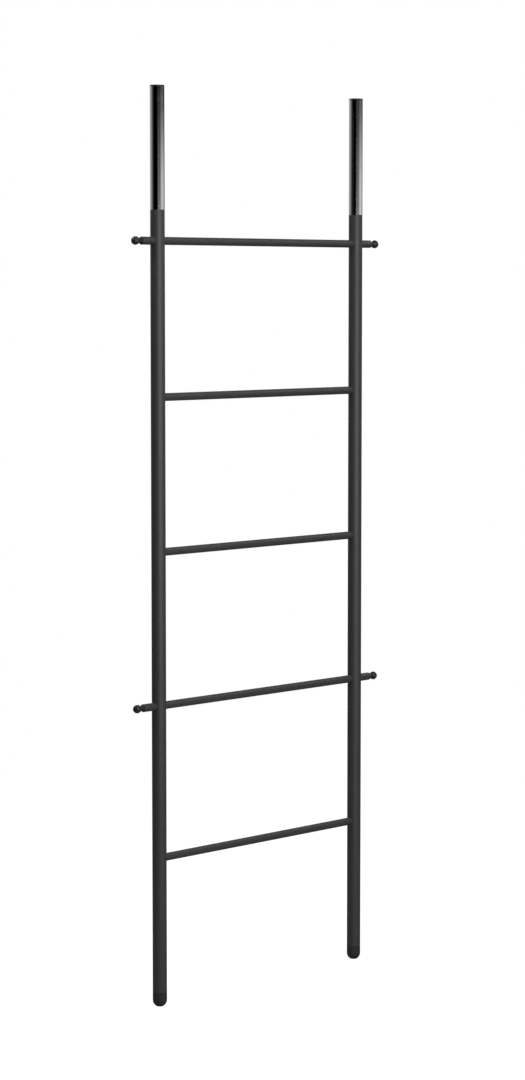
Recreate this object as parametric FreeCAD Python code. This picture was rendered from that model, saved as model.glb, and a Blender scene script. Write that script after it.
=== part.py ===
import FreeCAD, Part
import math
import os
from FreeCAD import Vector

# A blanket ladder: two round tube rails, five round rungs, and turned pegs with ball
# ends where the second and the top rung meet the rails.
#
# How it goes together. Each rail is a lower tube and a polished grip tube, butted over
# a spigot inside both, with a moulded cap at the head and a rubber foot at the floor.
# The second and the top rung are coped to sit on the rails. A stud runs from a threaded
# insert in the rung's end, through both walls of the rail and a saddle washer, into the
# peg, and turning the peg draws the whole frame tight. The other rungs plug through the
# inner wall of each rail and stop on the far wall.
#
# Frame: millimetres, X along the rungs, Z up, the front facing -Y. The origin is on the
# floor, midway between the two feet. Rungs are counted from the floor.

# ---- overall -----------------------------------------------------------------------
TOTAL_HEIGHT = 1615.0        # floor to the top face of a cap
CLEAR_WIDTH = 480.0          # between the facing sides of the two rails
RUNG_COUNT = 5
LOWER_PEGGED_RUNG = 2        # counted from the floor; the upper one is the top rung
FIRST_RUNG_HEIGHT = 265.0    # floor to the axis of the lowest rung
TOP_RUNG_DROP = 53.0         # joint of a rail down to the axis of the top rung

# ---- rail tubes --------------------------------------------------------------------
RAIL_OD = 25.4
RAIL_WALL = 1.5
GRIP_LENGTH = 212.0          # the polished tube at the head of a rail
TUBE_EDGE = 0.4              # chamfer round the outside of a tube's end

# ---- spigot inside the butt joint of a rail ------------------------------------------
SPIGOT_LENGTH = 80.0         # half of it in each tube
SPIGOT_WALL = 2.0
SPIGOT_EDGE = 1.0            # lead-in chamfer
SPIGOT_CLEARANCE = 0.1       # radial, to the inside of the tubes

# ---- moulded plugs: the cap at the head, the foot at the floor -------------------------
PLUG_CLEARANCE = 0.05        # radial, from a rib's crest to the inside of the tube
RIB_HEIGHT = 0.7             # how far a rib stands out of the plug's core
RIB_LENGTH = 2.4             # its sloping side, along the plug
RIB_PITCH = 4.5
PLUG_EDGE = 0.8              # lead-in chamfer on the plug's end

CAP_LIP = 2.0                # thickness of the cap outside the tube
CAP_EDGE = 0.8               # rounding of the cap's rim
CAP_PLUG_LENGTH = 15.0
CAP_RIBS = 3
CAP_WALL = 1.8               # of the hollow plug

FOOT_HEIGHT = 25.0           # the part of the foot that shows
FOOT_FLAT = 12.0             # diameter of the flat at the tip of the dome
FOOT_PLUG_LENGTH = 20.0
FOOT_RIBS = 4
FOOT_CORE_OD = 9.0           # blind hole that lets the plug give
FOOT_CORE_DEPTH = 26.0       # down from the top of the plug

# ---- rungs -------------------------------------------------------------------------
RUNG_OD = 14.0
RUNG_WALL = 1.5
SOCKET_CLEARANCE = 0.15      # radial, rung to the hole in the rail
STOP_CLEARANCE = 0.1         # rung's end to the far wall of the rail
SEAT_GAP = 0.03              # film of paint between a coped end or washer and the rail

# ---- stud and insert ---------------------------------------------------------------
STUD_OD = 6.0
STUD_EDGE = 0.8
THREAD_CLEARANCE = 0.05      # radial, stud to the tapped holes
STUD_HOLE_CLEARANCE = 0.25   # radial, stud to the plain holes it passes
STUD_IN_INSERT = 14.0        # thread engaged in the rung's insert
STUD_IN_PEG = 12.0           # thread engaged in the peg

INSERT_LENGTH = 18.0
INSERT_SETBACK = 0.6         # insert's face behind the outside of the rail
INSERT_CLEARANCE = 0.02      # radial, insert to the inside of the rung
INSERT_EDGE = 0.6

# ---- saddle washer -----------------------------------------------------------------
WASHER_OD = 14.0
WASHER_THICKNESS = 1.8       # at its thinnest, over the crown of the rail
WASHER_EDGE = 0.3

# ---- peg ---------------------------------------------------------------------------
PEG_OD = 14.0
PEG_LENGTH = 25.1            # washer to the end of the straight part
PEG_BASE_EDGE = 0.3
PEG_ROUND = 1.6              # rounding where the straight part ends
NECK_OD = 9.0
NECK_COVE = 1.0              # concave radius between the end face and the neck
BALL_OD = 15.0
BALL_REACH = 12.7            # end of the straight part to the centre of the ball
PEG_BORE_SPARE = 2.0         # tapped hole deeper than the stud goes
DRILL_POINT = 118.0          # degrees, included angle at the bottom of a drilled hole

# ---- worked out from the sizes above -------------------------------------------------
RAIL_R = RAIL_OD / 2
RAIL_INNER_R = RAIL_R - RAIL_WALL
RAIL_X = (CLEAR_WIDTH + RAIL_OD) / 2
GRIP_TOP = TOTAL_HEIGHT - CAP_LIP
JOINT_HEIGHT = GRIP_TOP - GRIP_LENGTH
RUNG_RISE = JOINT_HEIGHT - TOP_RUNG_DROP - FIRST_RUNG_HEIGHT
RUNG_PITCH = RUNG_RISE / (RUNG_COUNT - 1)
PEGGED_RUNGS = {"lower": LOWER_PEGGED_RUNG, "upper": RUNG_COUNT}
RUNG_R = RUNG_OD / 2
RUNG_BORE_R = RUNG_R - RUNG_WALL
SEAT_R = RAIL_R + SEAT_GAP
STUD_R = STUD_OD / 2
STUD_HOLE_R = STUD_R + STUD_HOLE_CLEARANCE
THREAD_R = STUD_R + THREAD_CLEARANCE
PEG_SEAT = SEAT_R + WASHER_THICKNESS      # rail's axis to the flat of the washer
INSERT_FACE = SEAT_R + INSERT_SETBACK     # rail's axis to the face of the insert
SIDES = {"left": -1, "right": 1}
OVERRUN = 1.0                             # how far a cutting tool passes what it cuts


# ---- helpers ---------------------------------------------------------------------------
def arc(centre, radius, start, end):
    """Middle and end point of an arc, as (height, radius) points, angles in degrees."""
    def at(angle):
        turn = math.radians(angle)
        return (centre[0] + radius * math.cos(turn), centre[1] + radius * math.sin(turn))
    return (at((start + end) / 2), at(end))


def turned(path):
    """Solid turned about Z from a closed half section.

    A step of the path is a point (height, radius) reached in a straight line, or an
    arc, given as its middle and end points. The seam of the solid faces the back.
    """
    def place(point):
        return Vector(0, point[1], point[0])

    edges = []
    first = here = place(path[0])
    for step in path[1:]:
        if isinstance(step[0], tuple):
            middle, end = place(step[0]), place(step[1])
            edges.append(Part.Arc(here, middle, end).toShape())
        else:
            end = place(step)
            edges.append(Part.LineSegment(here, end).toShape())
        here = end
    edges.append(Part.LineSegment(here, first).toShape())
    section = Part.Face(Part.Wire(edges))
    solid = section.revolve(Vector(0, 0, 0), Vector(0, 0, 1), 360)
    return solid if solid.Volume > 0 else solid.reversed()


def round_stock(rim, bore, low, high, edge):
    """Tube standing on Z, or a bar where bore is 0, chamfered round both ends.

    rim and bore are radii, low and high are the heights of the ends.
    """
    return turned([(low, bore), (low, rim - edge), (low + edge, rim),
                   (high - edge, rim), (high, rim - edge), (high, bore)])


def ribbed(core, crest, shoulder, direction, count):
    """Sawtooth ribs along a plug, as path points that lead away from its shoulder."""
    points = []
    for rib in range(count):
        start = shoulder + direction * (RIB_PITCH * (rib + 1) - RIB_LENGTH)
        points.append((start, core))
        points.append((start, crest))
        points.append((start + direction * RIB_LENGTH, core))
    return points


def at_joint(shape, side, height):
    """Move a shape to where a rung meets a rail.

    The shape was built on Z, with its zero on the rail's axis and Z pointing outwards.
    """
    moved = shape.copy()
    moved.rotate(Vector(0, 0, 0), Vector(0, 1, 0), 90 * side)
    moved.translate(Vector(side * RAIL_X, 0, height))
    return moved


def on_rail(shape, side):
    """Move a shape that was built on Z onto the axis of a rail."""
    moved = shape.copy()
    moved.translate(Vector(side * RAIL_X, 0, 0))
    return moved


def rail_space():
    """The rail and its film of paint, to cut what sits on it, in the joint's own frame."""
    return Part.makeCylinder(SEAT_R, 2 * RAIL_OD, Vector(-RAIL_OD, 0, 0), Vector(1, 0, 0))


def rung_height(number):
    return FIRST_RUNG_HEIGHT + (number - 1) * RUNG_PITCH


# ---- pieces of a rail ----------------------------------------------------------------
def lower_tube(side):
    """Rail tube from the foot to the joint, holed for every rung."""
    blank = round_stock(RAIL_R, RAIL_INNER_R, FOOT_HEIGHT, JOINT_HEIGHT, TUBE_EDGE)
    solid = on_rail(blank, side)
    reach = RAIL_R + OVERRUN
    stud_hole = Part.makeCylinder(STUD_HOLE_R, 2 * reach, Vector(0, 0, -reach))
    socket = Part.makeCylinder(RUNG_R + SOCKET_CLEARANCE, reach, Vector(0, 0, -reach))
    for number in range(1, RUNG_COUNT + 1):
        hole = stud_hole if number in PEGGED_RUNGS.values() else socket
        solid = solid.cut(at_joint(hole, side, rung_height(number)))
    return solid


def grip_tube(side):
    """Polished tube from the joint to the cap."""
    return on_rail(round_stock(RAIL_R, RAIL_INNER_R, JOINT_HEIGHT, GRIP_TOP, TUBE_EDGE), side)


def spigot(side):
    """Sleeve inside the butt joint."""
    rim = RAIL_INNER_R - SPIGOT_CLEARANCE
    low = JOINT_HEIGHT - SPIGOT_LENGTH / 2
    high = JOINT_HEIGHT + SPIGOT_LENGTH / 2
    return on_rail(round_stock(rim, rim - SPIGOT_WALL, low, high, SPIGOT_EDGE), side)


def cap(side):
    """Hollow ribbed plug whose thin lip closes the head of the rail."""
    crest = RAIL_INNER_R - PLUG_CLEARANCE
    core = crest - RIB_HEIGHT
    end = GRIP_TOP - CAP_PLUG_LENGTH
    hollow = core - CAP_WALL
    rim = (TOTAL_HEIGHT - CAP_EDGE, RAIL_R - CAP_EDGE)
    path = [(TOTAL_HEIGHT, 0), (TOTAL_HEIGHT, RAIL_R - CAP_EDGE),
            arc(rim, CAP_EDGE, 0, 90), (GRIP_TOP, RAIL_R)]
    path += [(GRIP_TOP, core)] + ribbed(core, crest, GRIP_TOP, -1, CAP_RIBS)
    path += [(end + PLUG_EDGE, core), (end, core - PLUG_EDGE),
             (end, hollow), (GRIP_TOP, hollow), (GRIP_TOP, 0)]
    return on_rail(turned(path), side)


def foot(side):
    """Rubber foot: a dome as wide as the rail, on a ribbed plug with a blind core."""
    crest = RAIL_INNER_R - PLUG_CLEARANCE
    core = crest - RIB_HEIGHT
    end = FOOT_HEIGHT + FOOT_PLUG_LENGTH
    flat_r = FOOT_FLAT / 2
    centre = math.sqrt(RAIL_R ** 2 - flat_r ** 2)
    edge_angle = 180 - math.degrees(math.asin(flat_r / RAIL_R))
    path = [(0, 0), (0, flat_r), arc((centre, 0), RAIL_R, edge_angle, 90),
            (FOOT_HEIGHT, RAIL_R), (FOOT_HEIGHT, core)]
    path += ribbed(core, crest, FOOT_HEIGHT, 1, FOOT_RIBS)
    path += [(end - PLUG_EDGE, core), (end, core - PLUG_EDGE), (end, FOOT_CORE_OD / 2),
             (end - FOOT_CORE_DEPTH, FOOT_CORE_OD / 2), (end - FOOT_CORE_DEPTH, 0)]
    return on_rail(turned(path), side)


# ---- rungs ---------------------------------------------------------------------------
def rung_blank(half, height):
    """Straight length of rung tube, level at its height, half of it on each side."""
    solid = round_stock(RUNG_R, RUNG_BORE_R, -half, half, TUBE_EDGE)
    solid.rotate(Vector(0, 0, 0), Vector(0, 1, 0), 90)
    solid.translate(Vector(0, 0, height))
    return solid


def plugged_rung(height):
    """Rung whose ends pass the inner walls of the rails and stop on the far walls."""
    stop = math.sqrt(RAIL_INNER_R ** 2 - RUNG_R ** 2) - STOP_CLEARANCE
    half = RAIL_X + stop
    return rung_blank(half, height)


def coped_rung(height):
    """Rung whose ends are cut to the round of the rails."""
    solid = rung_blank(RAIL_X, height)
    for side in SIDES.values():
        solid = solid.cut(at_joint(rail_space(), side, height))
    return solid


# ---- pieces of a pegged joint, built outwards along Z from the rail's axis -------------
def insert():
    """Threaded insert in the end of a coped rung."""
    low = -INSERT_FACE - INSERT_LENGTH
    return round_stock(RUNG_BORE_R - INSERT_CLEARANCE, THREAD_R, low, -INSERT_FACE, INSERT_EDGE)


def stud():
    """Stud from the insert, through the rail and the washer, into the peg."""
    low = -INSERT_FACE - STUD_IN_INSERT
    return round_stock(STUD_R, 0, low, PEG_SEAT + STUD_IN_PEG, STUD_EDGE)


def saddle_washer():
    """Washer with one hollow face for the rail and one flat face for the peg."""
    rim = WASHER_OD / 2
    blank = turned([(0, STUD_HOLE_R), (0, rim), (PEG_SEAT - WASHER_EDGE, rim),
                    (PEG_SEAT, rim - WASHER_EDGE), (PEG_SEAT, STUD_HOLE_R)])
    return blank.cut(rail_space())


def peg():
    """Turned peg: straight part, neck and ball, tapped from its flat base."""
    rim, neck, ball = PEG_OD / 2, NECK_OD / 2, BALL_OD / 2
    bore_end = PEG_SEAT + STUD_IN_PEG + PEG_BORE_SPARE
    bore_point = bore_end + THREAD_R / math.tan(math.radians(DRILL_POINT / 2))
    shoulder = PEG_SEAT + PEG_LENGTH
    centre = shoulder + BALL_REACH
    meet_angle = 180 - math.degrees(math.asin(neck / ball))
    path = [
        (bore_point, 0), (bore_end, THREAD_R), (PEG_SEAT, THREAD_R),
        (PEG_SEAT, rim - PEG_BASE_EDGE), (PEG_SEAT + PEG_BASE_EDGE, rim),
        (shoulder - PEG_ROUND, rim),
        arc((shoulder - PEG_ROUND, rim - PEG_ROUND), PEG_ROUND, 90, 0),
        (shoulder, neck + NECK_COVE),
        arc((shoulder + NECK_COVE, neck + NECK_COVE), NECK_COVE, 180, 270),
        (centre - math.sqrt(ball ** 2 - neck ** 2), neck),
        arc((centre, 0), ball, meet_angle, 0),
    ]
    return turned(path)


# ---- the whole ladder ------------------------------------------------------------------
def ladder():
    """Every piece in its place, by name."""
    pieces = {}
    for side_name, side in SIDES.items():
        pieces[side_name + "_lower_tube"] = lower_tube(side)
        pieces[side_name + "_grip_tube"] = grip_tube(side)
        pieces[side_name + "_spigot"] = spigot(side)
        pieces[side_name + "_cap"] = cap(side)
        pieces[side_name + "_foot"] = foot(side)

    for number in range(1, RUNG_COUNT + 1):
        make_rung = coped_rung if number in PEGGED_RUNGS.values() else plugged_rung
        pieces["rung_%d" % number] = make_rung(rung_height(number))

    hardware = {"peg": peg(), "saddle_washer": saddle_washer(),
                "stud": stud(), "insert": insert()}
    for level, number in PEGGED_RUNGS.items():
        for side_name, side in SIDES.items():
            for kind, shape in hardware.items():
                name = "%s_%s_%s" % (level, side_name, kind)
                pieces[name] = at_joint(shape, side, rung_height(number))
    return pieces


def main():
    os.makedirs("parts", exist_ok=True)
    for name, shape in ladder().items():
        box = shape.BoundBox
        print("%-26s solids %d  valid %s  volume %9.1f mm3  z %7.1f to %7.1f" % (
            name, len(shape.Solids), shape.isValid(), shape.Volume, box.ZMin, box.ZMax))
        shape.exportStep("parts/%s.step" % name)


main()
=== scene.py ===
# %% [markdown]
# # A blanket ladder
# Two round tube rails, five round rungs and four turned pegs with ball ends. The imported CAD
# model gives every piece its place and its size. This lesson turns smooth pieces over the
# coarse CAD ones, gives each a finish, and lights them as for a plain studio picture.

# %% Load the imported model
import math

import bmesh
import bpy
from mathutils import Matrix, Vector


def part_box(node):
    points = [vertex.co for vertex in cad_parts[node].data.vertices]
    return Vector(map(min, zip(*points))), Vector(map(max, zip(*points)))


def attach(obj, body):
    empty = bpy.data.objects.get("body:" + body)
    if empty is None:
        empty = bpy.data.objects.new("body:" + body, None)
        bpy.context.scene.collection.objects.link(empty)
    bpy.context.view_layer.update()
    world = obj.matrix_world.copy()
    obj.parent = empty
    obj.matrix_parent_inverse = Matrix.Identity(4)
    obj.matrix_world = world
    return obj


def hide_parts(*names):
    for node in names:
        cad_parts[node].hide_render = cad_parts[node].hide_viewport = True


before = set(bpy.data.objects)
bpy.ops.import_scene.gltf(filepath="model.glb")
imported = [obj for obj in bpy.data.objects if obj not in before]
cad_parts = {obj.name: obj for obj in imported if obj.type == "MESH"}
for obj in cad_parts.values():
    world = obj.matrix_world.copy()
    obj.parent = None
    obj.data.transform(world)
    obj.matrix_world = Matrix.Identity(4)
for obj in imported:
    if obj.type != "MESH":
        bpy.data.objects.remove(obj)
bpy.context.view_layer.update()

# %% [markdown]
# ## Sizes
# Sections are drawn in millimetres, as a turner's drawing is. Heights are read from the
# nodes of the frame, so a rung stays where the CAD has it. The diameters are those of the
# tube that such a ladder is made of.

# %% Read the heights, name the diameters
RAIL_R, RAIL_BORE = 12.7, 11.2
RUNG_R, RUNG_BORE = 7.0, 5.5
SOCKET_R = 7.15        # hole in a rail that a plain rung plugs into
STUD_HOLE_R = 3.25
SEAT_R = 12.73         # a rail with its film of paint, which a coped end sits on
TUBE_EDGE = 0.4        # chamfer round a tube's end
SIDES = {"left": -1, "right": 1}


def span(node, axis):
    """Lowest and highest place of a node along one axis, in millimetres."""
    low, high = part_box(node)
    return low[axis] * 1000, high[axis] * 1000


RAIL_X = sum(span("right_cap", 0)) / 2
FOOT_TOP, JOINT = span("right_lower_tube", 2)
GRIP_TOP = span("right_grip_tube", 2)[1]
HEAD = span("right_cap", 2)[1]
RUNG_HEIGHTS = {number: sum(span("rung_%d" % number, 2)) / 2 for number in range(1, 6)}
PEGGED = {"lower": 2, "upper": 5}
print("rails at x = +/-%.2f, joint at %.1f, head at %.1f" % (RAIL_X, JOINT, HEAD))
print("rungs at", {number: round(height, 2) for number, height in RUNG_HEIGHTS.items()})

# %% [markdown]
# ## A pen for turned pieces
# Every piece of this ladder is round: tube that was drawn, pegs that were turned on a
# lathe, plugs and feet that were moulded round. Subdivided cylinders would do, but their
# rims are hard to keep crisp. So each piece starts as half of its section, drawn with a
# pen that goes in straight lines (extrude) and arcs (spin), and the section is then spun
# round the axis. One more ring close to each rim keeps the shading of a long wall even.

# %% Draw a half section
class HalfSection:
    """A pen that draws half of a round piece: height along the axis, radius off it."""

    def __init__(self, height, radius):
        self.sketch = bmesh.new()
        self.tip = self.sketch.verts.new((radius, 0, height))

    def line(self, height, radius):
        """Go straight to a point."""
        drawn = bmesh.ops.extrude_vert_indiv(self.sketch, verts=[self.tip])
        self.tip = drawn["verts"][0]
        self.tip.co = (radius, 0, height)
        return self

    def arc(self, height, radius, degrees, steps=6):
        """Swing round the centre at that height and radius."""
        drawn = bmesh.ops.spin(
            self.sketch, geom=[self.tip], cent=(radius, 0, height), axis=(0, 1, 0),
            angle=math.radians(degrees), steps=steps)
        self.tip = next(part for part in drawn["geom_last"]
                        if isinstance(part, bmesh.types.BMVert))
        return self


# %% Spin a section
SAME_PLACE = 0.0001    # vertices closer than this are merged, in millimetres


def turn(section, sides=128):
    """Spin a half section all the way round Z into a closed shell."""
    shell = section.sketch
    bmesh.ops.spin(
        shell, geom=shell.verts[:] + shell.edges[:], cent=(0, 0, 0),
        axis=(0, 0, 1), angle=math.tau, steps=sides, use_merge=True)
    bmesh.ops.remove_doubles(shell, verts=shell.verts[:], dist=SAME_PLACE)
    bmesh.ops.recalc_face_normals(shell, faces=shell.faces[:])
    return shell


# %% [markdown]
# A spun shell is still in millimetres on Z, and Blender numbers its parts in another order
# on each run. Sorting them by place makes every run give the same mesh. The shell is then
# moved to its place as a mesh, so that the object itself stays at the origin.

# %% Make a shell a piece
HARD_EDGE = math.radians(31)


def put_in_order(shell):
    """Number vertices, edges and faces by place, so that every run gives the same mesh."""
    middles = ((shell.verts, lambda vert: vert.co),
               (shell.edges, lambda edge: edge.verts[0].co + edge.verts[1].co),
               (shell.faces, lambda face: face.calc_center_median()))
    for parts, middle in middles:
        in_order = sorted(parts, key=lambda part: [round(v, 4) for v in middle(part)])
        for number, part in enumerate(in_order):
            part.index = number
        parts.sort()


def shade(mesh):
    """Smooth shading, broken only where two faces meet at a hard edge."""
    mesh.shade_smooth()
    mesh.set_sharp_from_angle(angle=HARD_EDGE)


def piece_from(shell, name, place):
    """Bring a shell from millimetres on Z to its place in metres, as a smooth object."""
    put_in_order(shell)
    to_metres = Matrix.Scale(0.001, 4) @ place
    bmesh.ops.transform(shell, matrix=to_metres, verts=shell.verts[:])
    mesh = bpy.data.meshes.new(name)
    shell.to_mesh(mesh)
    shell.free()
    shade(mesh)
    piece = bpy.data.objects.new(name, mesh)
    bpy.context.scene.collection.objects.link(piece)
    return piece


# %% Places, and standing for CAD nodes
def on_rail(side):
    """Place for a piece that stands on the axis of a rail."""
    return Matrix.Translation((side * RAIL_X, 0, 0))


def at_joint(side, height):
    """Place for a piece that points outwards from a rail at a rung's height."""
    turned = Matrix.Rotation(math.radians(90 * side), 4, "Y")
    return Matrix.Translation((side * RAIL_X, 0, height)) @ turned


def stand_for(piece, material, slot, *nodes):
    """Finish a piece and let it stand for its CAD nodes."""
    piece.data.materials.append(material)
    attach(piece, "root")
    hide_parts(*nodes)
    print("%-20s %6d faces" % (piece.name, len(piece.data.polygons)))


# %% [markdown]
# ## Laying out shader nodes
# Node trees are long when each node takes five lines. Two short helpers place a node with
# its values and join sockets, so a material can be read from its input to its output.

# %% Place nodes and join them
def put(tree, kind, values=None, **settings):
    """Add a node with its settings and the values of its inputs."""
    node = tree.nodes.new(kind)
    for name, value in settings.items():
        setattr(node, name, value)
    for name, value in (values or {}).items():
        node.inputs[name].default_value = value
    return node


def join(tree, *pairs):
    """Link outputs to inputs, given in pairs."""
    for source, target in pairs:
        tree.links.new(source, target)


def effect(name, inputs, outputs):
    """Start a shader node group with named float or vector sockets."""
    tree = bpy.data.node_groups.new(name, "ShaderNodeTree")
    kinds = {"float": "NodeSocketFloat", "vector": "NodeSocketVector"}
    for label, kind, value in inputs:
        socket = tree.interface.new_socket(label, in_out="INPUT", socket_type=kinds[kind])
        if value is not None:
            socket.default_value = value
    for label, kind in outputs:
        tree.interface.new_socket(label, in_out="OUTPUT", socket_type=kinds[kind])
    return tree, tree.nodes.new("NodeGroupInput"), tree.nodes.new("NodeGroupOutput")


# %% [markdown]
# ## Effects that several finishes share
# *Orange peel* is the shallow waviness of powder coat and moulded plastic, with a finer
# grain on top. It could be real displacement, but at a few hundredths of a millimetre a
# bump is enough. *Handling* is the cloudy change in gloss where hands and cloth have
# been. *Dust* settles on faces that look up. *Tool marks* are the fine rings that turning
# and polishing leave round an axis. Each is a group, so that every finish can use it with
# its own values.

# %% Orange peel: a height
peel, peel_in, peel_out = effect(
    "orange_peel",
    [("Vector", "vector", None), ("Waves per metre", "float", 600),
     ("Grains per metre", "float", 2600), ("Grain share", "float", 0.3)],
    [("Height", "float")])
waves = put(peel, "ShaderNodeTexNoise", {"Detail": 1.0, "Roughness": 0.4})
grains = put(peel, "ShaderNodeTexNoise", {"Detail": 2.0, "Roughness": 0.6})
blend = put(peel, "ShaderNodeMix", data_type="FLOAT")
join(peel,
     (peel_in.outputs["Vector"], waves.inputs["Vector"]),
     (peel_in.outputs["Vector"], grains.inputs["Vector"]),
     (peel_in.outputs["Waves per metre"], waves.inputs["Scale"]),
     (peel_in.outputs["Grains per metre"], grains.inputs["Scale"]),
     (peel_in.outputs["Grain share"], blend.inputs["Factor"]),
     (waves.outputs["Fac"], blend.inputs["A"]),
     (grains.outputs["Fac"], blend.inputs["B"]),
     (blend.outputs["Result"], peel_out.inputs["Height"]))

# %% Handling: a roughness between two values
handling, handling_in, handling_out = effect(
    "handling",
    [("Vector", "vector", None), ("Patches per metre", "float", 14),
     ("Polished", "float", 0.4), ("Dulled", "float", 0.6)],
    [("Roughness", "float")])
patches = put(handling, "ShaderNodeTexNoise", {"Detail": 5.0, "Roughness": 0.62})
spread = put(handling, "ShaderNodeMapRange", {"From Min": 0.32, "From Max": 0.68})
join(handling,
     (handling_in.outputs["Vector"], patches.inputs["Vector"]),
     (handling_in.outputs["Patches per metre"], patches.inputs["Scale"]),
     (patches.outputs["Fac"], spread.inputs["Value"]),
     (handling_in.outputs["Polished"], spread.inputs["To Min"]),
     (handling_in.outputs["Dulled"], spread.inputs["To Max"]),
     (spread.outputs["Result"], handling_out.inputs["Roughness"]))

# %% Dust: a mask on faces that look up
dust, dust_in, dust_out = effect(
    "settled_dust",
    [("Vector", "vector", None), ("Amount", "float", 0.1)],
    [("Mask", "float")])
facing = put(dust, "ShaderNodeNewGeometry")
upward = put(dust, "ShaderNodeSeparateXYZ")
lying = put(dust, "ShaderNodeMapRange",
            {"From Min": 0.35, "From Max": 1.0}, interpolation_type="SMOOTHSTEP")
specks = put(dust, "ShaderNodeTexNoise",
             {"Scale": 900, "Detail": 3.0, "Roughness": 0.7})
thinned = put(dust, "ShaderNodeMath", operation="MULTIPLY")
amount = put(dust, "ShaderNodeMath", operation="MULTIPLY")
join(dust,
     (facing.outputs["Normal"], upward.inputs["Vector"]),
     (upward.outputs["Z"], lying.inputs["Value"]),
     (dust_in.outputs["Vector"], specks.inputs["Vector"]),
     (lying.outputs["Result"], thinned.inputs[0]),
     (specks.outputs["Fac"], thinned.inputs[1]),
     (thinned.outputs["Value"], amount.inputs[0]),
     (dust_in.outputs["Amount"], amount.inputs[1]),
     (amount.outputs["Value"], dust_out.inputs["Mask"]))

# %% Tool marks: a height of fine rings round an axis
DRIFT_PER_METRE = 25.0    # how fast a ring changes on its way round

marks, marks_in, marks_out = effect(
    "tool_marks",
    [("Vector", "vector", None), ("Rings per metre", "float", 3000)],
    [("Height", "float")])
along = put(marks, "ShaderNodeVectorMath", operation="MULTIPLY")
rings = put(marks, "ShaderNodeTexNoise",
            {"Scale": 1.0, "Detail": 3.0, "Roughness": 0.7})
stretch = put(marks, "ShaderNodeCombineXYZ", {"X": DRIFT_PER_METRE, "Y": DRIFT_PER_METRE})
join(marks,
     (marks_in.outputs["Rings per metre"], stretch.inputs["Z"]),
     (marks_in.outputs["Vector"], along.inputs[0]),
     (stretch.outputs["Vector"], along.inputs[1]),
     (along.outputs["Vector"], rings.inputs["Vector"]),
     (rings.outputs["Fac"], marks_out.inputs["Height"]))
print("effects:", [group.name for group in bpy.data.node_groups])


# %% A material to start from
def bare_material(name):
    """A material with an empty node tree."""
    material = bpy.data.materials.new(name)
    material.use_nodes = True
    material.node_tree.nodes.clear()
    return material, material.node_tree


def finish(name, shader_values, bump_distance, axis_turn=(0, 0, 0)):
    """A Principled material with Object coordinates, a bump, and nothing else yet."""
    material, tree = bare_material(name)
    output = put(tree, "ShaderNodeOutputMaterial")
    shader = put(tree, "ShaderNodeBsdfPrincipled", shader_values)
    bump = put(tree, "ShaderNodeBump", {"Strength": 1.0, "Distance": bump_distance})
    place = put(tree, "ShaderNodeTexCoord")
    turned = put(tree, "ShaderNodeMapping", {"Rotation": axis_turn})
    join(tree,
         (place.outputs["Object"], turned.inputs["Vector"]),
         (bump.outputs["Normal"], shader.inputs["Normal"]),
         (shader.outputs["BSDF"], output.inputs["Surface"]))
    return material, tree, shader, bump, turned.outputs["Vector"]


def use(tree, group, vector, **values):
    """Place an effect in a material, with its own values."""
    node = put(tree, "ShaderNodeGroup", node_tree=group)
    join(tree, (vector, node.inputs["Vector"]))
    for name, value in values.items():
        node.inputs[name.replace("_", " ")].default_value = value
    return node


def between(tree, one, other):
    """A mix of two colours, whose factor is still free."""
    tint = put(tree, "ShaderNodeMix", data_type="RGBA")
    tint.inputs["A"].default_value = (*one, 1)
    tint.inputs["B"].default_value = (*other, 1)
    return tint


# %% [markdown]
# ## Matt black powder coat
# The lower tubes, the rungs and the pegs are one colour: a deep neutral black with a wide
# soft highlight. A dark colour with an even roughness looks like paint from a tin. Real
# powder coat has orange peel about a millimetre and a half across, a finer grain that
# breaks up the highlight, and roughness that drifts a little along the tube.

# %% Powder coat
MATT_BLACK = (0.035, 0.035, 0.036)
DUST_GREY = (0.30, 0.29, 0.28)


def powder_coat(name):
    material, tree, shader, bump, vector = finish(
        name, {"IOR": 1.46}, bump_distance=0.00012)
    peeled = use(tree, peel, vector, Waves_per_metre=620.0, Grains_per_metre=2200.0,
                 Grain_share=0.35)
    drift = use(tree, handling, vector, Patches_per_metre=9.0, Polished=0.45,
                Dulled=0.50)
    dusty = use(tree, dust, vector, Amount=0.10)
    tint = between(tree, MATT_BLACK, DUST_GREY)
    join(tree,
         (peeled.outputs["Height"], bump.inputs["Height"]),
         (drift.outputs["Roughness"], shader.inputs["Roughness"]),
         (dusty.outputs["Mask"], tint.inputs["Factor"]),
         (tint.outputs["Result"], shader.inputs["Base Color"]))
    return material


COAT = powder_coat("powder_coat")
print("finish:", COAT.name)

# %% [markdown]
# The ball and the neck of each peg look darker and smoother than the rest. The darker
# colour there is painted shade, for the shade that falls in the neck and round the ball;
# the smoother roughness is a polish where hands take hold and hangers slide. A second paint
# would make a hard line, so the pegs have the same coat, and past the shoulder it drifts to
# a darker, smoother one. The mask is the distance from the middle of the ladder, so one
# material serves both sides.

# %% Powder coat with painted shade and a smoother polish at the pegs' ends
# painted shade: the black that the necks and balls of the pegs are darkened to
PAINTED_SHADE_BLACK = (0.012, 0.012, 0.012)
HANDLED_ROUGHNESS = 0.38
PEG_SHOULDER = 39.6    # rail's axis to the end of a peg's straight part


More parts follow.
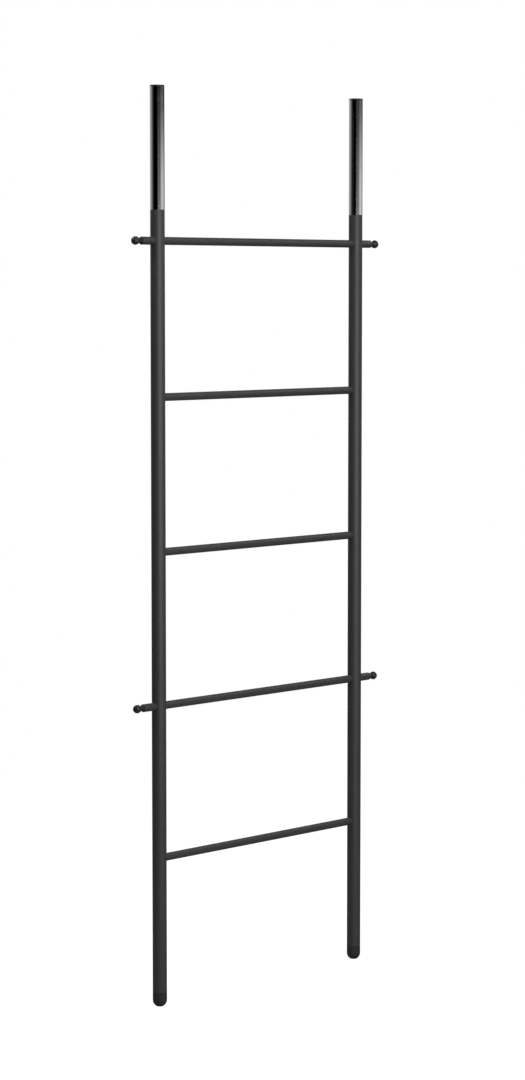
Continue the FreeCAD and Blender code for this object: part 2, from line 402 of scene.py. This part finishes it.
def peg_coat(shoulder):
    """The powder coat, darkened by painted shade and smoother beyond a distance in metres
    from the middle.
    """
    material = powder_coat("peg_coat")
    tree = material.node_tree
    shader = tree.nodes["Principled BSDF"]
    place = put(tree, "ShaderNodeTexCoord")
    sideways = put(tree, "ShaderNodeSeparateXYZ")
    outward = put(tree, "ShaderNodeMath", operation="ABSOLUTE")
    # mask for the painted shade and the polish, rising past the shoulder
    shade_and_polish = put(tree, "ShaderNodeMapRange",
                  {"From Min": shoulder - 0.0015, "From Max": shoulder + 0.001})
    # painted shade: the coat's colour drifts to a darker black
    darker = between(tree, MATT_BLACK, PAINTED_SHADE_BLACK)
    smoother = put(tree, "ShaderNodeMix", data_type="FLOAT")
    smoother.inputs["B"].default_value = HANDLED_ROUGHNESS
    join(tree,
         (place.outputs["Object"], sideways.inputs["Vector"]),
         (sideways.outputs["X"], outward.inputs[0]),
         (outward.outputs["Value"], shade_and_polish.inputs["Value"]),
         (shade_and_polish.outputs["Result"], darker.inputs["Factor"]),
         (shade_and_polish.outputs["Result"], smoother.inputs["Factor"]),
         (shader.inputs["Base Color"].links[0].from_socket, darker.inputs["A"]),
         (shader.inputs["Roughness"].links[0].from_socket, smoother.inputs["A"]),
         (darker.outputs["Result"], shader.inputs["Base Color"]),
         (smoother.outputs["Result"], shader.inputs["Roughness"]))
    return material


PEG_COAT = peg_coat((RAIL_X + PEG_SHOULDER) / 1000)
print("finish:", PEG_COAT.name)

# %% [markdown]
# ## Polished black plate
# The top 212 mm of each rail is polished and plated, and mirrors the room in black. It is
# a metal with a dark reflection, not a black paint, so the pale backdrop comes back as a
# bright streak along one side. Faint polishing rings and cloudy handling keep it from
# looking like glass.

# %% Black plate
def black_plate():
    material, tree, shader, bump, vector = finish(
        "black_plate", {"Metallic": 1.0}, bump_distance=0.0000008)
    ringed = use(tree, marks, vector, Rings_per_metre=2400.0)
    cloudy = use(tree, handling, vector, Patches_per_metre=26.0, Polished=0.07,
                 Dulled=0.11)
    tone = between(tree, (0.38, 0.38, 0.385), (0.35, 0.35, 0.355))
    join(tree,
         (ringed.outputs["Height"], bump.inputs["Height"]),
         (ringed.outputs["Height"], tone.inputs["Factor"]),
         (cloudy.outputs["Roughness"], shader.inputs["Roughness"]),
         (tone.outputs["Result"], shader.inputs["Base Color"]))
    return material


PLATE = black_plate()
print("finish:", PLATE.name)

# %% [markdown]
# ## Moulded plastic, rubber and zinc
# The caps are satin plastic with a fine moulded grain. The feet are duller rubber, and
# their last millimetre is scuffed a little greyer by the floor. The spigots, studs and
# inserts are zinc plated steel, inside the tubes and out of sight, but they belong to the
# model and get a finish as well.

# %% Cap plastic
def cap_plastic():
    material, tree, shader, bump, vector = finish(
        "cap_plastic", {"IOR": 1.49}, bump_distance=0.00004)
    grained = use(tree, peel, vector, Waves_per_metre=1500.0, Grains_per_metre=5200.0,
                  Grain_share=0.6)
    worn = use(tree, handling, vector, Patches_per_metre=60.0, Polished=0.34,
               Dulled=0.46)
    dusty = use(tree, dust, vector, Amount=0.10)
    tint = between(tree, (0.028, 0.028, 0.029), DUST_GREY)
    join(tree,
         (grained.outputs["Height"], bump.inputs["Height"]),
         (worn.outputs["Roughness"], shader.inputs["Roughness"]),
         (dusty.outputs["Mask"], tint.inputs["Factor"]),
         (tint.outputs["Result"], shader.inputs["Base Color"]))
    return material


# %% Foot rubber
SCUFF_HEIGHT = 0.0012    # metres above the floor
SCUFF_AMOUNT = 0.25


def foot_rubber():
    material, tree, shader, bump, vector = finish(
        "foot_rubber", {"IOR": 1.52}, bump_distance=0.00007)
    grained = use(tree, peel, vector, Waves_per_metre=900.0, Grains_per_metre=3600.0,
                  Grain_share=0.5)
    worn = use(tree, handling, vector, Patches_per_metre=45.0, Polished=0.62,
               Dulled=0.78)
    low_down = put(tree, "ShaderNodeSeparateXYZ")
    scuffed = put(tree, "ShaderNodeMapRange",
                  {"From Min": SCUFF_HEIGHT, "From Max": 0.0,
                   "To Min": 0.0, "To Max": SCUFF_AMOUNT})
    tint = between(tree, (0.013, 0.013, 0.013), (0.10, 0.095, 0.09))
    join(tree,
         (grained.outputs["Height"], bump.inputs["Height"]),
         (worn.outputs["Roughness"], shader.inputs["Roughness"]),
         (vector, low_down.inputs["Vector"]),
         (low_down.outputs["Z"], scuffed.inputs["Value"]),
         (scuffed.outputs["Result"], tint.inputs["Factor"]),
         (tint.outputs["Result"], shader.inputs["Base Color"]))
    return material


# %% Zinc plate, with rings round Z or round X
def zinc_plate(name, axis_turn):
    material, tree, shader, bump, vector = finish(
        name, {"Metallic": 1.0}, bump_distance=0.000006, axis_turn=axis_turn)
    ringed = use(tree, marks, vector, Rings_per_metre=1800.0)
    cloudy = use(tree, handling, vector, Patches_per_metre=80.0, Polished=0.26,
                 Dulled=0.42)
    tone = between(tree, (0.60, 0.61, 0.62), (0.66, 0.66, 0.64))
    join(tree,
         (ringed.outputs["Height"], bump.inputs["Height"]),
         (cloudy.outputs["Roughness"], shader.inputs["Roughness"]),
         (cloudy.outputs["Roughness"], tone.inputs["Factor"]),
         (tone.outputs["Result"], shader.inputs["Base Color"]))
    return material


CAP_PLASTIC = cap_plastic()
RUBBER = foot_rubber()
ZINC_UPRIGHT = zinc_plate("zinc_plate_upright", (0, 0, 0))
ZINC_LEVEL = zinc_plate("zinc_plate_level", (0, math.radians(90), 0))
for material in (CAP_PLASTIC, RUBBER, ZINC_UPRIGHT, ZINC_LEVEL):
    print("finish:", material.name)

# %% [markdown]
# ## Tube
# Rails and rungs are cut lengths of drawn tube with a small chamfer round each end. The
# section is a thin rectangle. Where holes will be drilled it gets a ring above and below
# them, so that the cut disturbs only a short stretch of the wall.

# %% Section of a tube
RING_BY_RIM = 1.0    # from a chamfer to the ring that keeps the long wall's shading even


def tube_section(rim, bore, low, high, rings=()):
    """Half section of a tube with chamfered ends, and more rings at given heights."""
    near = TUBE_EDGE + RING_BY_RIM
    section = HalfSection(low, bore).line(low, rim - TUBE_EDGE).line(low + TUBE_EDGE, rim)
    inner = [height for height in rings if low + near < height < high - near]
    for height in [low + near] + inner + [high - near]:
        section.line(height, rim)
    section.line(high - TUBE_EDGE, rim).line(high, rim - TUBE_EDGE).line(high, bore)
    for height in reversed(inner):
        section.line(height, bore)
    return section.line(low, bore)


# %% [markdown]
# ## Lower tubes, drilled for the rungs
# Each lower tube has three sockets in its inner wall, where a plain rung plugs in, and two
# small holes right through, for the studs. Holes in a round wall are what a Boolean does
# well: the drills are cylinders, joined in one cutter. The result is stored as a plain mesh
# and the cutter goes. Where the cut leaves two corners in nearly the same place they are
# merged, because the faces between them would be slivers.

# %% Drill the lower tubes
DRILL_REACH = 15.0        # from the rail's axis, past its outside
BESIDE_HOLE = 12.0        # from a hole's axis to the rings above and below it
SAME_CORNER = 0.000004    # corners left closer than this, in metres, are merged


def drills(side):
    """All the drills of one rail, as one cutter."""
    cutter = bmesh.new()
    for number, height in RUNG_HEIGHTS.items():
        through = number in PEGGED.values()
        radius = STUD_HOLE_R if through else SOCKET_R
        low, high = -DRILL_REACH, DRILL_REACH if through else 0.0
        place = at_joint(side, height) @ Matrix.Translation((0, 0, (low + high) / 2))
        bmesh.ops.create_cone(
            cutter, cap_ends=True, segments=64, radius1=radius, radius2=radius,
            depth=high - low, matrix=place)
    return piece_from(cutter, "drills", Matrix.Identity(4))


def drilled(tube, cutter):
    """Cut the drills out of a tube and keep the result as its mesh."""
    cut = tube.modifiers.new("drilled", "BOOLEAN")
    cut.operation = "DIFFERENCE"
    cut.solver = "EXACT"
    cut.object = cutter
    bpy.context.view_layer.update()
    graph = bpy.context.evaluated_depsgraph_get()
    mesh = bpy.data.meshes.new_from_object(tube.evaluated_get(graph))
    tube.modifiers.clear()
    cleaned = bmesh.new()
    cleaned.from_mesh(mesh)
    bmesh.ops.remove_doubles(cleaned, verts=cleaned.verts[:], dist=SAME_CORNER)
    cleaned.to_mesh(mesh)
    cleaned.free()
    tube.data = mesh
    shade(mesh)
    bpy.data.objects.remove(cutter)


beside_holes = sorted(height + step for height in RUNG_HEIGHTS.values()
                      for step in (-BESIDE_HOLE, BESIDE_HOLE))
for name, side in SIDES.items():
    section = tube_section(RAIL_R, RAIL_BORE, FOOT_TOP, JOINT, beside_holes)
    tube = piece_from(turn(section), name + "_rail", on_rail(side))
    drilled(tube, drills(side))
    stand_for(tube, COAT, "matt_black_coat", name + "_lower_tube")

# %% [markdown]
# ## Grip tubes
# The polished tube on top of each rail is the same stock, so it uses the same section. It
# mirrors its surroundings, and any flat facet would show as a step in the streaks. Twice
# as many sides as the matt tubes have keep the mirror true.

# %% Grip tubes
for name, side in SIDES.items():
    section = tube_section(RAIL_R, RAIL_BORE, JOINT, GRIP_TOP)
    grip = piece_from(turn(section, sides=256), name + "_grip", on_rail(side))
    stand_for(grip, PLATE, "polished_black_plate", name + "_grip_tube")


# %% [markdown]
# ## Moulded plugs
# A cap and a foot are each moulded in one piece with a plug whose ribs bite in the tube.
# The ribs are a sawtooth, which the pen draws in a loop. They are hidden in the tube and
# come into view only when the model is taken apart.

# %% Ribs of a plug
PLUG_CORE, PLUG_CREST = 10.45, 11.15
PLUG_EDGE = 0.8
RIB_PITCH, RIB_LENGTH = 4.5, 2.4


def ribs(section, shoulder, direction, count):
    """Draw sawtooth ribs that lead away from the shoulder of a plug."""
    for number in range(1, count + 1):
        start = shoulder + direction * (RIB_PITCH * number - RIB_LENGTH)
        section.line(start, PLUG_CORE).line(start, PLUG_CREST)
        section.line(start + direction * RIB_LENGTH, PLUG_CORE)


# %% Caps: a thin lip with a rounded rim, over a hollow plug
def cap_section():
    lip, rounding, length, hollow = 2.0, 0.8, 15.0, 8.65
    ring_by_rim = 0.6
    shoulder = HEAD - lip
    end = shoulder - length
    rim = RAIL_R - rounding
    section = HalfSection(HEAD, 0).line(HEAD, rim - ring_by_rim).line(HEAD, rim)
    section.arc(HEAD - rounding, rim, 90, steps=8)
    section.line(shoulder, RAIL_R).line(shoulder, PLUG_CORE)
    ribs(section, shoulder, -1, count=3)
    section.line(end + PLUG_EDGE, PLUG_CORE).line(end, PLUG_CORE - PLUG_EDGE)
    return section.line(end, hollow).line(shoulder, hollow).line(shoulder, 0)


for name, side in SIDES.items():
    lid = piece_from(turn(cap_section()), name + "_lid", on_rail(side))
    stand_for(lid, CAP_PLASTIC, "black_cap_plastic", name + "_cap")


# %% [markdown]
# ## Feet
# The foot is a dome as wide as the tube, flattened where it meets the floor, so that the
# ladder can be tipped against a wall and still stand on rubber. The pen swings from the
# rim of the flat round the dome's centre, and goes up to the shoulder.

# %% Feet
def foot_section():
    flat, length, hollow, hollow_depth = 6.0, 20.0, 4.5, 26.0
    ring_by_rim = 0.5
    centre = math.sqrt(RAIL_R ** 2 - flat ** 2)
    swing = 90 - math.degrees(math.asin(flat / RAIL_R))
    top = FOOT_TOP + length
    floor_of_hollow = top - hollow_depth
    section = HalfSection(0, 0).line(0, flat - ring_by_rim).line(0, flat)
    section.arc(centre, 0, -swing, steps=16)
    section.line(FOOT_TOP - ring_by_rim, RAIL_R).line(FOOT_TOP, RAIL_R)
    section.line(FOOT_TOP, PLUG_CORE)
    ribs(section, FOOT_TOP, 1, count=4)
    section.line(top - PLUG_EDGE, PLUG_CORE).line(top, PLUG_CORE - PLUG_EDGE)
    section.line(top, hollow).line(floor_of_hollow, hollow)
    return section.line(floor_of_hollow, 0)


for name, side in SIDES.items():
    dome = piece_from(turn(foot_section()), name + "_rubber_foot", on_rail(side))
    stand_for(dome, RUBBER, "black_rubber", name + "_foot")


# %% [markdown]
# ## Rungs
# Rungs 1, 3 and 4 are plain tube that ends inside the rails. Rungs 2 and 5 are coped: each
# end is cut to the round of the rail, like a fish's mouth. A Boolean could cut it, but here
# it is enough to slide the last ring of vertices along the rung until each touches the
# round, which keeps the mesh even.

# %% Rungs
COPED_END = RAIL_X - 9.0    # a coped rung's ends before they are slid, past the cope
END_RING = 1.0              # vertices this close to an end belong to it
BEHIND_COPE = 4.0           # from an end to the ring that limits the slide


def coped(shell, end):
    """Slide the end rings of a rung that lies on Z until they follow the rails."""
    for vert in shell.verts:
        if abs(vert.co.z) > end - END_RING:
            reach = RAIL_X - math.sqrt(SEAT_R ** 2 - vert.co.y ** 2)
            vert.co.z = math.copysign(reach, vert.co.z)
    bmesh.ops.remove_doubles(shell, verts=shell.verts[:], dist=SAME_PLACE)
    return shell


def coped_section(end):
    """Half section of a rung without chamfers, with one ring behind each cope."""
    ring = end - BEHIND_COPE
    section = HalfSection(-end, RUNG_BORE).line(-end, RUNG_R).line(-ring, RUNG_R)
    section.line(ring, RUNG_R).line(end, RUNG_R).line(end, RUNG_BORE)
    section.line(ring, RUNG_BORE).line(-ring, RUNG_BORE)
    return section.line(-end, RUNG_BORE)


LEVEL = Matrix.Rotation(math.radians(90), 4, "Y")
for number, height in RUNG_HEIGHTS.items():
    node = "rung_%d" % number
    if number in PEGGED.values():
        shell = coped(turn(coped_section(COPED_END), sides=96), COPED_END)
    else:
        end = span(node, 0)[1]
        shell = turn(tube_section(RUNG_R, RUNG_BORE, -end, end), sides=96)
    place = Matrix.Translation((0, 0, height)) @ LEVEL
    bar = piece_from(shell, "bar_%d" % number, place)
    stand_for(bar, COAT, "matt_black_coat", node)


# %% [markdown]
# ## Pegs
# A peg is turned from bar: a straight part, a rounded end face, a narrow neck and a ball.
# The rounding, the cove at the foot of the neck and the ball are all arcs of the same pen,
# and the bore for the stud is drawn last.

# %% Pegs
def peg_section():
    seat, length, reach = 14.53, 25.1, 12.7
    rim, rounding, neck, cove, ball = 7.0, 1.6, 4.5, 1.0, 7.5
    bore, bore_depth, drill_point = 3.05, 14.0, 1.83
    edge = 0.3
    shoulder = seat + length
    centre = shoulder + reach
    meet = math.sqrt(ball ** 2 - neck ** 2)
    swing = 90 + math.degrees(math.asin(meet / ball))
    bore_end = seat + bore_depth
    section = HalfSection(bore_end + drill_point, 0).line(bore_end, bore)
    section.line(seat, bore).line(seat, rim - edge).line(seat + edge, rim)
    # the rings close to each rim keep the shading of the straight part even
    section.line(seat + 0.8, rim).line(shoulder - rounding - 0.4, rim)
    section.line(shoulder - rounding, rim)
    section.arc(shoulder - rounding, rim - rounding, -90, steps=10)
    section.line(shoulder, neck + cove)
    section.arc(shoulder + cove, neck + cove, 90, steps=8)
    section.line(centre - meet - edge, neck).line(centre - meet, neck)
    return section.arc(centre, 0, -swing, steps=40)


for level, number in PEGGED.items():
    for name, side in SIDES.items():
        end = "%s_%s" % (level, name)
        place = at_joint(side, RUNG_HEIGHTS[number])
        knob = piece_from(turn(peg_section(), sides=96), end + "_knob", place)
        stand_for(knob, PEG_COAT, "matt_black_coat", end + "_peg")

# %% [markdown]
# ## Nodes that stay as the CAD has them
# The saddle washers are small, so their CAD mesh is fine as it is. The spigots, studs and
# inserts are hidden. They keep their meshes and only get a finish.

# %% Finish the CAD nodes that stay
finishes = {"saddle_washer": COAT, "spigot": ZINC_UPRIGHT, "stud": ZINC_LEVEL,
            "insert": ZINC_LEVEL}
for node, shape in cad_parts.items():
    for kind, material in finishes.items():
        if node.endswith(kind):
            shape.data.materials.clear()
            shape.data.materials.append(material)
            print("%-28s %s" % (node, material.name))

# %% [markdown]
# ## Camera
# The camera's place was worked out from the straight edges of the rails and the lines of
# the rungs in the picture: half turned to the left of the ladder, a little over five
# metres away, at chest height and tilted down by five degrees.

# %% Camera
CAMERA_TURN = 45.497    # degrees from straight ahead, to the right
CAMERA_TILT = 5.044     # degrees down

lens = bpy.data.cameras.new("camera")
lens.sensor_fit = "VERTICAL"
lens.sensor_height = 36.0
lens.lens = 95.333
lens.clip_end = 200.0
camera = bpy.data.objects.new("camera", lens)
camera.location = (-3.6738, -3.6170, 1.2674)
camera.rotation_euler = (math.radians(90 - CAMERA_TILT), 0, math.radians(-CAMERA_TURN))
bpy.context.scene.collection.objects.link(camera)
bpy.context.scene.camera = camera
print("camera at", [round(v, 3) for v in camera.location])

# %% [markdown]
# ## The glow of the studio
# A mirror shows the room it stands in. The polished tubes have a bright streak on the left,
# a black core and paler bands on the right, so this room has a white backdrop behind the
# ladder, a low wall in front, a low bright wall on the right, and is dark elsewhere. Built
# walls would do, but they would stand in the way of the camera in other views. So the room
# is a value that depends on heading alone. Each of its parts is the dot product of the
# heading with the part's own direction, cut off, squared, and faded out with height.

# %% One bright part of the room
glow, glow_in, glow_out = effect(
    "studio_glow", [("Heading", "vector", None)], [("Brightness", "float")])


def bright_part(toward, dark, full, strength, fade_from, fade_to, left_above):
    """Brightness of one part of the room, as a socket.

    toward is in degrees from the camera's side of the room, to the photographer's right.
    dark and full are the dot products where the part starts and where it is at its
    strength. It fades between two heights, to the share that is left above.
    """
    turned = math.radians(CAMERA_TURN + 180 - toward)
    aim = put(glow, "ShaderNodeVectorMath", operation="DOT_PRODUCT")
    aim.inputs[1].default_value = (math.sin(turned), math.cos(turned), 0)
    cut = put(glow, "ShaderNodeMapRange", {"From Min": dark, "From Max": full})
    rounded = put(glow, "ShaderNodeMath", operation="POWER")
    rounded.inputs[1].default_value = 2.0
    rise = put(glow, "ShaderNodeSeparateXYZ")
    fade = put(glow, "ShaderNodeMapRange",
               {"From Min": fade_from, "From Max": fade_to, "To Min": strength,
                "To Max": strength * left_above}, interpolation_type="SMOOTHSTEP")
    part = put(glow, "ShaderNodeMath", operation="MULTIPLY")
    join(glow,
         (glow_in.outputs["Heading"], aim.inputs[0]),
         (aim.outputs["Value"], cut.inputs["Value"]),
         (cut.outputs["Result"], rounded.inputs[0]),
         (glow_in.outputs["Heading"], rise.inputs["Vector"]),
         (rise.outputs["Z"], fade.inputs["Value"]),
         (rounded.outputs["Value"], part.inputs[0]),
         (fade.outputs["Result"], part.inputs[1]))
    return part.outputs["Value"]


# %% Add the parts up
room_parts = {
    "backdrop": bright_part(toward=-135, dark=0.1, full=1.0, strength=0.88,
                            fade_from=0.30, fade_to=0.60, left_above=0.0),
    "front wall": bright_part(toward=41, dark=0.79, full=0.87, strength=0.36,
                              fade_from=0.031, fade_to=0.067, left_above=0.02),
    "right wall": bright_part(toward=95, dark=0.58, full=0.96, strength=1.50,
                              fade_from=0.032, fade_to=0.070, left_above=0.02),
}
total, *others = room_parts.values()
for part in others:
    added = put(glow, "ShaderNodeMath", operation="ADD")
    join(glow, (total, added.inputs[0]), (part, added.inputs[1]))
    total = added.outputs["Value"]
join(glow, (total, glow_out.inputs["Brightness"]))
print("parts of the room:", list(room_parts))


# %% [markdown]
# ## Floor
# The floor is plain and matt. Near the ladder it is grey paint that is lit like anything
# else and takes the shadow. The camera alone sees it lifted to white, which leaves the
# lamps alone and keeps the undersides of the rungs dark. Further off it fades to the white
# of the backdrop, so no horizon shows. A mirror sees a small share of the room's glow
# there instead, or the polished tubes would lose their black cores.

# %% Floor
FLOOR_GREY = (0.35, 0.35, 0.35, 1)
FLOOR_LIFT = 0.87         # brightness that the camera alone sees added near the ladder
MIRRORED_SHARE = 0.08     # of the room's glow, on the far floor
NEAR_FLOOR, FAR_FLOOR = 0.8, 2.4    # metres from the ladder's middle


def floor_material():
    material, tree = bare_material("pale_floor")
    output = put(tree, "ShaderNodeOutputMaterial")
    place = put(tree, "ShaderNodeTexCoord")
    distance = put(tree, "ShaderNodeVectorMath", operation="LENGTH")
    far = put(tree, "ShaderNodeMapRange", {"From Min": NEAR_FLOOR, "From Max": FAR_FLOOR},
              interpolation_type="SMOOTHSTEP")
    heading = put(tree, "ShaderNodeVectorMath", operation="NORMALIZE")
    room = put(tree, "ShaderNodeGroup", node_tree=glow)
    path = put(tree, "ShaderNodeLightPath")
    mirrored = put(tree, "ShaderNodeMath", operation="MAXIMUM")
    near_lift = put(tree, "ShaderNodeMath", operation="MULTIPLY")
    near_lift.inputs[1].default_value = FLOOR_LIFT
    far_glow = put(tree, "ShaderNodeMix", data_type="FLOAT")
    far_glow.inputs["B"].default_value = 1.0
    dimmed = put(tree, "ShaderNodeMath", operation="MULTIPLY")
    dimmed.inputs[1].default_value = MIRRORED_SHARE
    paint = put(tree, "ShaderNodeBsdfDiffuse", {"Color": FLOOR_GREY})
    lift = put(tree, "ShaderNodeEmission", {"Color": (1, 1, 1, 1)})
    white = put(tree, "ShaderNodeEmission", {"Color": (1, 1, 1, 1)})
    near = put(tree, "ShaderNodeAddShader")
    seen = put(tree, "ShaderNodeMixShader")
    looked_at = put(tree, "ShaderNodeMath", operation="MAXIMUM")
    beyond = put(tree, "ShaderNodeMath", operation="MULTIPLY")
    join(tree,
         (place.outputs["Object"], distance.inputs[0]),
         (place.outputs["Object"], heading.inputs[0]),
         (distance.outputs["Value"], far.inputs["Value"]),
         (heading.outputs["Vector"], room.inputs["Heading"]),
         (room.outputs["Brightness"], dimmed.inputs[0]),
         (dimmed.outputs["Value"], far_glow.inputs["A"]),
         (path.outputs["Is Camera Ray"], far_glow.inputs["Factor"]),
         (path.outputs["Is Camera Ray"], near_lift.inputs[0]),
         (near_lift.outputs["Value"], lift.inputs["Strength"]),
         (far_glow.outputs["Result"], white.inputs["Strength"]),
         (path.outputs["Is Glossy Ray"], mirrored.inputs[0]),
         (path.outputs["Is Transmission Ray"], mirrored.inputs[1]),
         (mirrored.outputs["Value"], looked_at.inputs[0]),
         (path.outputs["Is Camera Ray"], looked_at.inputs[1]),
         (looked_at.outputs["Value"], beyond.inputs[0]),
         (far.outputs["Result"], beyond.inputs[1]),
         (paint.outputs["BSDF"], near.inputs[0]),
         (lift.outputs["Emission"], near.inputs[1]),
         (beyond.outputs["Value"], seen.inputs["Fac"]),
         (near.outputs["Shader"], seen.inputs[1]),
         (white.outputs["Emission"], seen.inputs[2]),
         (seen.outputs["Shader"], output.inputs["Surface"]))
    return material


slab = bmesh.new()
bmesh.ops.create_grid(slab, x_segments=1, y_segments=1, size=60.0)
floor_mesh = bpy.data.meshes.new("floor")
slab.to_mesh(floor_mesh)
slab.free()
floor = bpy.data.objects.new("floor", floor_mesh)
bpy.context.scene.collection.objects.link(floor)
floor.data.materials.append(floor_material())
print("floor", [round(v, 1) for v in floor.dimensions])

# %% [markdown]
# ## The room
# The world is plain white to the camera, the studio's glow to a mirror or through glass,
# and a faint even grey for light that falls on the ladder, since lamps do that work.

# %% World
AMBIENT = 0.05

world = bpy.data.worlds.new("studio")
bpy.context.scene.world = world
world.use_nodes = True
room = world.node_tree
room.nodes.clear()
room_out = put(room, "ShaderNodeOutputWorld")
heading = put(room, "ShaderNodeTexCoord")
walls = put(room, "ShaderNodeGroup", node_tree=glow)
ray = put(room, "ShaderNodeLightPath")
mirror_ray = put(room, "ShaderNodeMath", operation="MAXIMUM")
even = put(room, "ShaderNodeMix", data_type="FLOAT")
even.inputs["A"].default_value = AMBIENT
brightness = put(room, "ShaderNodeMix", data_type="FLOAT")
brightness.inputs["B"].default_value = 1.0
sky = put(room, "ShaderNodeBackground", {"Color": (1, 1, 1, 1)})
join(room,
     (heading.outputs["Generated"], walls.inputs["Heading"]),
     (ray.outputs["Is Glossy Ray"], mirror_ray.inputs[0]),
     (ray.outputs["Is Transmission Ray"], mirror_ray.inputs[1]),
     (mirror_ray.outputs["Value"], even.inputs["Factor"]),
     (walls.outputs["Brightness"], even.inputs["B"]),
     (even.outputs["Result"], brightness.inputs["A"]),
     (ray.outputs["Is Camera Ray"], brightness.inputs["Factor"]),
     (brightness.outputs["Result"], sky.inputs["Strength"]),
     (sky.outputs["Background"], room_out.inputs["Surface"]))

# %% [markdown]
# ## Lamps
# Two wide soft panels stand in front, one low and one high. The gap between them is what
# the polished tubes mirror near the head, and it keeps them black there. A panel high on
# the right lights the right-hand edges, one high on the left the left-hand ones, one
# overhead the tops of the rungs, and one high behind the ladder its back, for the views
# from there. Together they light a grey card nearly as grey as it is.

# %% Lamps
def soft_panel(name, watts, size, place, aim_height):
    """A rectangular area lamp that faces the ladder's axis at a height."""
    light = bpy.data.lights.new(name, "AREA")
    light.shape = "RECTANGLE"
    light.size, light.size_y = size
    light.energy = watts
    lamp = bpy.data.objects.new(name, light)
    lamp.location = place
    aim = Vector((0, 0, aim_height)) - Vector(place)
    lamp.rotation_euler = aim.to_track_quat("-Z", "Y").to_euler()
    bpy.context.scene.collection.objects.link(lamp)
    print("%-12s %5.1f W at %s" % (name, watts, place))


soft_panel("front_low", 36.0, (2.4, 0.6), (-0.563, -2.538, 1.00), aim_height=1.0)
soft_panel("front_high", 22.0, (1.8, 0.6), (-0.868, -2.451, 2.35), aim_height=1.0)
soft_panel("right_high", 13.0, (1.6, 1.2), (2.313, -0.641, 2.40), aim_height=0.9)
soft_panel("left_high", 15.0, (1.4, 1.4), (-2.120, 0.588, 2.90), aim_height=0.9)
soft_panel("overhead", 14.5, (1.4, 1.4), (-0.214, -0.771, 3.00), aim_height=0.9)
soft_panel("behind", 36.0, (2.0, 1.0), (0.900, 2.500, 2.80), aim_height=0.9)

# %% [markdown]
# ## Picture settings
# The plain Standard view shows colours as they were written.

# %% Settings
bpy.context.scene.view_settings.view_transform = "Standard"
